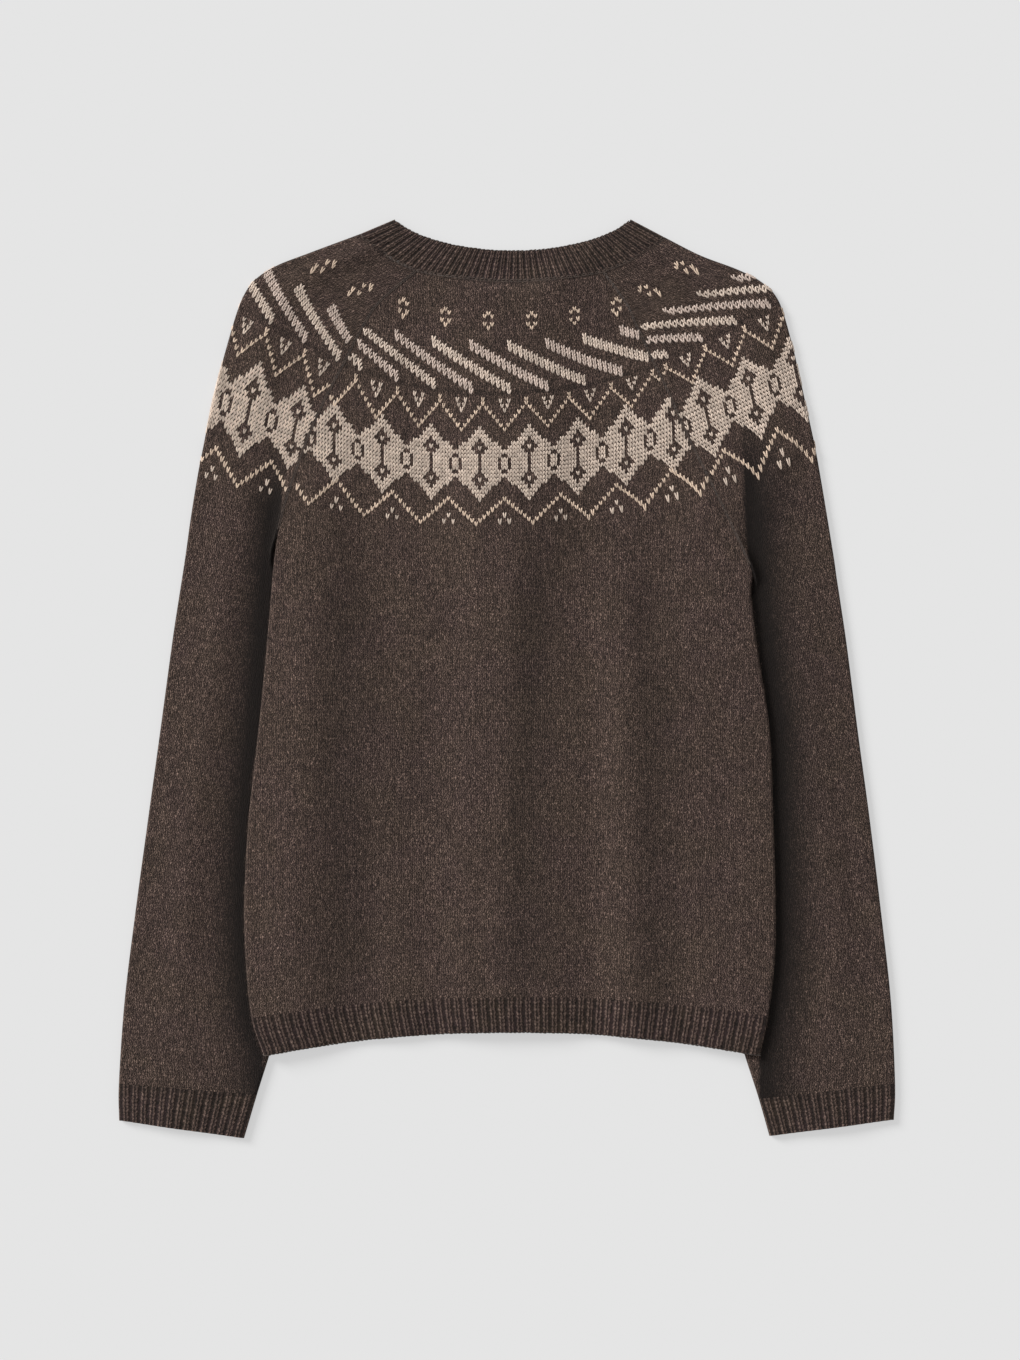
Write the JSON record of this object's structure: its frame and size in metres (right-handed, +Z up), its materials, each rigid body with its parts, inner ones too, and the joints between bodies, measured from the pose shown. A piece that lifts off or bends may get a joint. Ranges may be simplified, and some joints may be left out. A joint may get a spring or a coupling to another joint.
{
  "type": "crew neck cardigan",
  "caption": "Round-yoke knitted wool cardigan laid flat with its back up, long sleeves at its sides, ribbed neck, hem and cuffs, buttoned front underneath.",
  "frame": {"origin": "middle of the outline seen from above, on the surface the garment lies on", "axes": "+Z up from that surface, out of the garment's back; +Y from hem to neck; +X towards the wearer's right side"},
  "size_m": [0.6202, 0.7339, 0.0119],
  "materials": {
    "brown_wool": "heathered wool stocking stitch, matte with a soft fuzz",
    "brown_rib": "heathered wool rib, matte",
    "oatmeal_wool": "oatmeal wool of the yoke's motifs, matte",
    "dark_horn": "dark horn-like button, satin"
  },
  "bodies": {
    "root": {"back": "brown_wool", "left_front": "brown_wool", "right_front": "brown_wool", "left_sleeve": "brown_wool", "right_sleeve": "brown_wool", "neck_rib": "brown_rib", "back_hem_rib": "brown_rib", "left_front_hem_rib": "brown_rib", "right_front_hem_rib": "brown_rib", "left_cuff": "brown_rib", "right_cuff": "brown_rib", "button_band": "brown_rib", "buttonhole_band": "brown_rib", "button_1": "dark_horn", "button_2": "dark_horn", "button_3": "dark_horn", "button_4": "dark_horn", "button_5": "dark_horn", "button_6": "dark_horn", "button_7": "dark_horn", "button_8": "dark_horn"}
  },
  "joints": []
}
